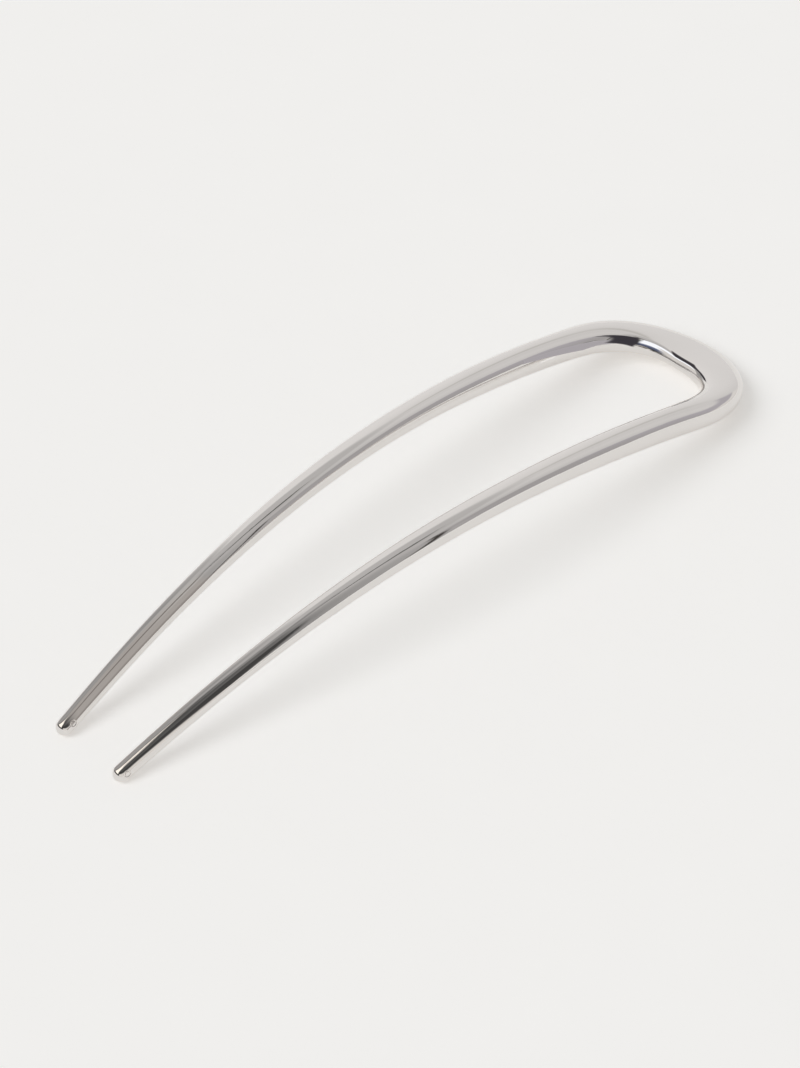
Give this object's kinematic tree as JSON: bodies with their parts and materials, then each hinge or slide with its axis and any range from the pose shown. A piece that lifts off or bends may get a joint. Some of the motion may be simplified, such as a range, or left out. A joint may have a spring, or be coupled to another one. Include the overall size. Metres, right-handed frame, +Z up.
{
  "type": "hairpin",
  "caption": "U-shaped polished metal hair fork with two long tapered prongs, an upward arch and a broad rounded bridge.",
  "frame": {"origin": "middle of the fork's box, on the surface that it rests on", "axes": "+X from the prong ends towards the bridge, +Y across the prongs, +Z up out of the arch"},
  "size_m": [0.1296, 0.03, 0.0156],
  "materials": {
    "polished_metal": "mirror polished and bright plated, with faint hairline polishing marks"
  },
  "bodies": {
    "root": {"hairpin": "polished_metal"}
  },
  "joints": []
}
